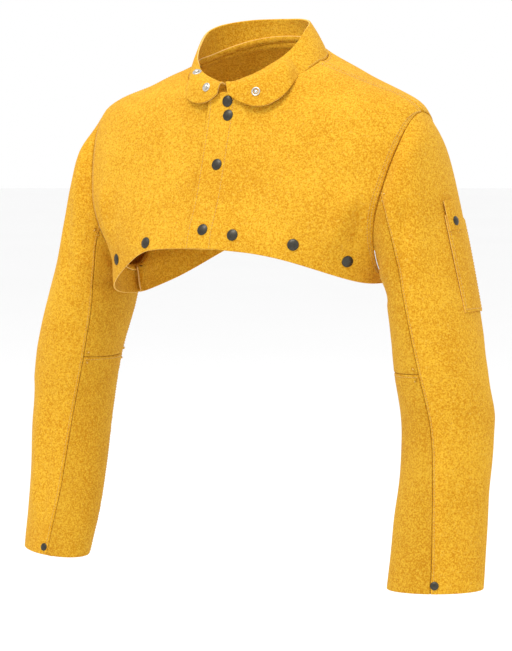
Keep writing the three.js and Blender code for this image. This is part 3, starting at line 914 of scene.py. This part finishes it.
class JACKET_OT_collar(bpy.types.Operator):
    """Make the sewn-down band and its two free tabs"""
    bl_idname = "jacket.collar"
    bl_label = "Collar"

    def execute(self, context):
        thick = context.scene.jacket_sizes.collar / MM
        v = shares(12, 0.02)[:, None]
        join = {side: angle - 0.12 for side, angle in TAB_ANGLE.items()}
        tip = math.pi - 0.02
        band = collar(np.linspace(-join["right"], join["left"], 110)[None, :], v)
        edges = {"bottom": "sewn", "start": "joint", "end": "joint"}
        piece, surface = leather_piece("collar_band_hide", band, thick, edges, from_axis, seed=41)
        SURFACES["collar"] = surface
        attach(piece, "torso")
        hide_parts("collar_band")
        for side, sign in (("left", 1), ("right", -1)):
            places = np.concatenate([np.linspace(0, 0.97, 50), [0.985, 0.994, 1.0]])
            turn = join[side] + (tip - join[side]) * places
            tab = collar(sign * turn[None, :], v)
            piece, _ = leather_piece(f"collar_{side}_tab_hide", tab, thick, {"start": "joint"},
                                     from_axis, seed=41)
            bend_tab(piece, side)
            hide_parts(f"collar_{side}_tab")
        return {"FINISHED"}


SLEEVE_FOLDS = (
    # start and end as station and degrees round, width, height
    ((5.4, 268), (7.7, 262), 6, -3.5),
    ((5.3, 290), (7.6, 285), 13, 3.5),
    ((1.6, 300), (3.4, 268), 9, -3.5),
    ((4.6, 60), (5.1, -20), 16, -2.6),
    ((5.3, 70), (5.9, 0), 16, 2.4),
    ((4.45, 215), (4.75, 300), 7, -3.5),
    ((4.9, 225), (4.95, 318), 8, 3.0),
    ((5.25, 235), (5.2, 300), 7, -3.0),
    ((5.6, 245), (5.45, 330), 9, 2.4),
    ((0.6, 200), (2.6, 262), 12, 4.5),
    ((1.2, 190), (3.2, 235), 8, -4.0),
    ((0.3, 330), (2.2, 300), 16, 2.5),
    ((2.0, 345), (4.0, 300), 20, -2.2),
    ((6.0, 300), (7.6, 270), 14, 2.0),
    ((6.4, 20), (7.8, -30), 18, -1.8),
    ((5.2, 30), (6.4, -20), 20, 1.8),
)


def seam_angle(side, place):
    return smooth((0, ELBOW, CUFF), FRONT_SEAM[side], place)


def sleeve_middle(side, place):
    """The middle of a sleeve's section, from which its outside is told."""
    return sleeve(side, place, np.arange(0, 360, 30.0)).mean(0)


def sleeve_panel(side, under, start_place, end_place, rows, ends):
    """One hide of a sleeve between two stations; ends gives its name and its two seams."""
    inner = np.linspace(start_place, end_place, rows)
    fine = np.array([0.004, 0.011, 0.02])
    places = np.concatenate([[start_place], start_place + fine, inner[1:-1],
                             end_place - fine[::-1], [end_place]])[:, None]
    u = shares(30 if under else 58, 0.02 if under else 0.011)[None, :]
    front = seam_angle(side, places)
    first = BACK_SEAM + 0 * front if under else front - 360
    last = front if under else BACK_SEAM + 0 * front
    base = sleeve(side, places, first + (last - first) * u)
    height = sum(fold(base, sleeve(side, *a), sleeve(side, *b), width, rise)
                 for a, b, width, rise in SLEEVE_FOLDS)
    if start_place == 0:
        height = height * step(edge_distance(base, "top"), 3, 26)
    middle = sleeve_middle(side, places[len(places) // 2, 0])
    part = "under" if under else "outer"
    name = f"{side}_sleeve_{part}_{ends[0]}"
    edges = {"start": "sewn", "end": "sewn", "top": ends[1], "bottom": ends[2]}
    thickness = bpy.context.scene.jacket_sizes.leather / MM
    # Under hides take the darker suede, which is painted shade of the inner sleeve; their smoother
    # nap is real.
    piece, surface = leather_piece(name, base, thickness, edges, lambda p: p - middle,
                                   "under_suede_painted_shade" if under else "suede", 51, height)
    SURFACES[name] = surface
    MIDDLES[name] = middle
    return piece


class JACKET_OT_sleeves(bpy.types.Operator):
    """Make the outer and under hides of both sleeves"""
    bl_idname = "jacket.sleeves"
    bl_label = "Sleeves"

    def execute(self, context):
        for side in ("left", "right"):
            for under in (False, True):
                part = "under" if under else "outer"
                head = sleeve_panel(side, under, 0, SPLIT, 64, ("head", "sewn", "joint"))
                bend_shoulder(head, side)
                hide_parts(f"{side}_sleeve_{part}_upper")
                if under:
                    elbow = sleeve_panel(side, True, SPLIT, ELBOW, 10, ("elbow", "joint", "sewn"))
                    bend_elbow(elbow, side)
                    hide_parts(f"{side}_sleeve_under_upper")
                    lower = sleeve_panel(side, True, ELBOW, CUFF, 52, ("lower", "sewn", "cut"))
                else:
                    lower = sleeve_panel(side, False, SPLIT, CUFF, 62, ("lower", "joint", "cut"))
                bend_elbow(lower, side)
                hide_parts(f"{side}_sleeve_{part}_lower")
        return {"FINISHED"}


class JACKET_OT_pocket(bpy.types.Operator):
    """Make the pen pocket on the left sleeve and its snap tab"""
    bl_idname = "jacket.pocket"
    bl_label = "Pen pocket"

    def execute(self, context):
        leather = context.scene.jacket_sizes.leather / MM
        middle = sleeve_middle("left", 3.0)
        outward = lambda p: p - middle
        for name, node, body, first, last, start, end, stand in (
                ("pen_pocket_hide", "pen_pocket", "left_upper_sleeve", 2.48, 4.15, -14, 34, 2.6),
                ("pen_pocket_tab_hide", "pen_pocket_tab", "pocket_tab", 2.2, 2.78, -13, 9, 5.0)):
            u, v = shares(16, 0.02)[None, :], shares(30, 0.01)[:, None]
            base = sleeve("left", first + (last - first) * v, start + (end - start) * u)
            crown = stand * (0.75 + 0.25 * np.sin(np.pi * u) * np.sin(np.pi * v))
            piece, surface = leather_piece(name, base, leather, {}, outward, "suede", 61, crown)
            SURFACES[name] = surface
            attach(piece, body)
            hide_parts(node)
        surface = SURFACES["pen_pocket_hide"]
        lines = [seam_lines(surface, side, (3.0,), outward, 1, -1)[0]
                 for side in ("start", "end", "bottom")]
        stitches = stitch_line("pen_pocket_stitching", lines)
        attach(stitches, "left_upper_sleeve")
        return {"FINISHED"}


def outer_point(surface, outward, target):
    """The mean point and outward normal of a made surface around a place."""
    normals = grid_normals(surface, outward)
    gap = np.linalg.norm(surface - np.asarray(target, float), axis=-1)
    weights = np.exp(-(gap / 4.0) ** 2)[..., None]
    return (surface * weights).sum((0, 1)) / weights.sum(), unit((normals * weights).sum((0, 1)))


# Radius and height above the hide, in millimetres.
CAP_PROFILE = ((0, -1.2), (6.6, -1.2), (7.2, -0.4), (7.5, 0.3), (7.5, 0.7), (7.1, 1.2),
               (6.7, 1.15), (6.3, 1.35), (5.2, 1.95), (3.6, 2.4), (1.8, 2.65), (0, 2.7))
SOCKET_PROFILE = ((0, 0.5), (2.2, 0.5), (2.5, -1.0), (3.3, -1.0), (3.6, 0.1), (4.0, 0.6),
                  (4.8, 0.6), (5.3, 0.0), (5.3, -1.6), (0, -1.6))
STUD_PROFILE = ((0, -1.6), (5.2, -1.6), (5.4, -0.2), (5.0, 0.5), (4.2, 0.7), (3.4, 0.4),
                (2.5, 0.3), (2.3, 0.8), (2.9, 1.7), (2.6, 2.4), (1.2, 2.7), (0, 2.7))
SNAP_KINDS = {"cap": (CAP_PROFILE, "cap"), "socket": (SOCKET_PROFILE, "nickel"),
              "stud": (STUD_PROFILE, "nickel")}


class JACKET_OT_snaps(bpy.types.Operator):
    """Set the press snaps in the placket, hem, collar, cuffs and pocket tab"""
    bl_idname = "jacket.snaps"
    bl_label = "Snaps"

    def snap(self, node, surface, outward, target, body, kind, depth=0.0, scale=1.0):
        """One turned snap part; one with a depth faces in, that far behind the surface."""
        profile, finish = SNAP_KINDS[kind]
        point, normal = outer_point(surface, outward, target)
        shape = [(r * scale, h * scale) for r, h in profile]
        facing = normal if depth <= 0 else -normal
        piece = lathe(f"{node}_turned", shape, point - normal * depth, facing,
                      [material_named(finish)])
        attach(piece, body)
        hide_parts(node)

    def execute(self, context):
        behind = context.scene.jacket_sizes.leather / MM + 0.4
        front = SURFACES["left_front"]
        for i, (x, z) in enumerate(PLACKET_SNAPS, 1):
            target = chest(x, drop_at(x, z))
            outer = target + (0, -4, 0)
            self.snap(f"placket_snap_cap_{i}", front, from_axis, outer, "left_front", "cap")
            self.snap(f"placket_snap_socket_{i}", front, from_axis, outer, "left_front", "socket",
                      behind, 0.9)
            self.snap(f"placket_snap_stud_{i}", SURFACES["right_front"], from_axis, target,
                      "torso", "stud", 0.0, 0.75)
        for name, (x, z) in HEM_SNAPS.items():
            side = "left" if x > 0 else "right"
            body = "left_front" if name == "left_inner" else "torso"
            target = chest(x, drop_at(x, z))
            held = (SURFACES[f"{side}_front"], from_axis, target, body)
            self.snap(f"hem_snap_cap_{name}", *held, "cap")
            self.snap(f"hem_snap_socket_{name}", *held, "socket", behind)
        tip = math.pi - 0.03
        for name, sign, share, v, kind in (("left_socket", 1, 0.64, 0.72, "socket"),
                                           ("right_stud_front", -1, 0.76, 0.62, "stud"),
                                           ("right_stud_side", -1, 0.26, 0.2, "stud")):
            side = "left" if sign > 0 else "right"
            start = TAB_ANGLE[side]
            patch = collar(sign * (start + (tip - start) * np.linspace(0, 1, 60))[None, :],
                           np.linspace(0, 1, 30)[:, None])
            target = collar(sign * (start + (tip - start) * share), v)
            self.snap(f"collar_{name}", patch, from_axis, target, f"collar_tab_{side}", kind,
                      0.0, 1.15)
        for side, around in (("left", -84), ("right", -108)):
            outward = lambda p, m=sleeve_middle(side, CUFF - 0.1): p - m
            held = (SURFACES[f"{side}_sleeve_outer_lower"], outward,
                    sleeve(side, CUFF - 0.12, around), f"{side}_forearm")
            self.snap(f"{side}_cuff_snap_cap", *held, "cap", 0, 0.72)
            self.snap(f"{side}_cuff_snap_socket", *held, "socket", behind, 0.8)
        middle = sleeve_middle("left", 2.5)
        self.snap("pen_pocket_snap_cap", SURFACES["pen_pocket_tab_hide"], lambda p: p - middle,
                  sleeve("left", 2.62, -2), "pocket_tab", "cap", 0, 0.8)
        return {"FINISHED"}


class JACKET_OT_stitching(bpy.types.Operator):
    """Sew the seams: shoulders, sides, armholes, neck and sleeves"""
    bl_idname = "jacket.stitching"
    bl_label = "Stitching"

    def execute(self, context):
        for name, surface, sides, distances, carry in (
                ("back", "back", ("start", "end", "top"), (5.5,), ride_torso),
                ("left_front", "left_front", ("end",), (5.5, 9.5), bend_front),
                ("right_front", "right_front", ("end",), (5.5, 9.5), ride_torso),
                ("placket", "left_front", ("start",), (4.0, 38.0), bend_front),
                ("collar", "collar", ("bottom",), (4.0,), ride_torso)):
            lines = [line for side in sides
                     for line in seam_lines(SURFACES[surface], side, distances, from_axis, 2, -2)]
            self.sew(f"{name}_stitching", lines, carry)
        for side in ("left", "right"):
            for part, carry in (("head", bend_shoulder), ("lower", bend_elbow)):
                name = f"{side}_sleeve_outer_{part}"
                outward = lambda p, m=MIDDLES[name]: p - m
                lines = seam_lines(SURFACES[name], "start", (4.5,), outward, 2, -2)
                lines += seam_lines(SURFACES[name], "end", (4.5,), outward, 2, -2)
                self.sew(f"{name}_stitching", lines, lambda p, c=carry, s=side: c(p, s))
            name = f"{side}_sleeve_under_lower"
            outward = lambda p, m=MIDDLES[name]: p - m
            lines = seam_lines(SURFACES[name], "top", (4.5,), outward, 3, -3)
            self.sew(f"{side}_elbow_stitching", lines, lambda p, s=side: bend_elbow(p, s))
        return {"FINISHED"}

    @staticmethod
    def sew(name, lines, carry):
        stitches = stitch_line(name, lines)
        carry(stitches)


class JACKET_PT_panel(bpy.types.Panel):
    """Sidebar list of the jacket's parts and settings"""
    bl_idname = "JACKET_PT_panel"
    bl_label = "Leather welding jacket"
    bl_space_type = "VIEW_3D"
    bl_region_type = "UI"
    bl_category = "Jacket"

    def draw(self, context):
        for group in (context.scene.jacket_sizes, context.scene.jacket_colours):
            for key in group.__annotations__:
                self.layout.prop(group, key)
        for operator in OPERATORS:
            self.layout.operator(operator.bl_idname)


OPERATORS = (JACKET_OT_stage, JACKET_OT_torso, JACKET_OT_collar, JACKET_OT_sleeves, JACKET_OT_pocket,
             JACKET_OT_snaps, JACKET_OT_stitching)
CLASSES = (JacketSizes, JacketColours, *OPERATORS, JACKET_PT_panel)


def register():
    for each in CLASSES:
        bpy.utils.register_class(each)
    bpy.types.Scene.jacket_sizes = bpy.props.PointerProperty(type=JacketSizes)
    bpy.types.Scene.jacket_colours = bpy.props.PointerProperty(type=JacketColours)


def unregister():
    del bpy.types.Scene.jacket_colours
    del bpy.types.Scene.jacket_sizes
    for each in reversed(CLASSES):
        bpy.utils.unregister_class(each)


def main():
    register()
    for each in OPERATORS:
        group, name = each.bl_idname.split(".")
        getattr(getattr(bpy.ops, group), name)()


if __name__ == "__main__":
    main()
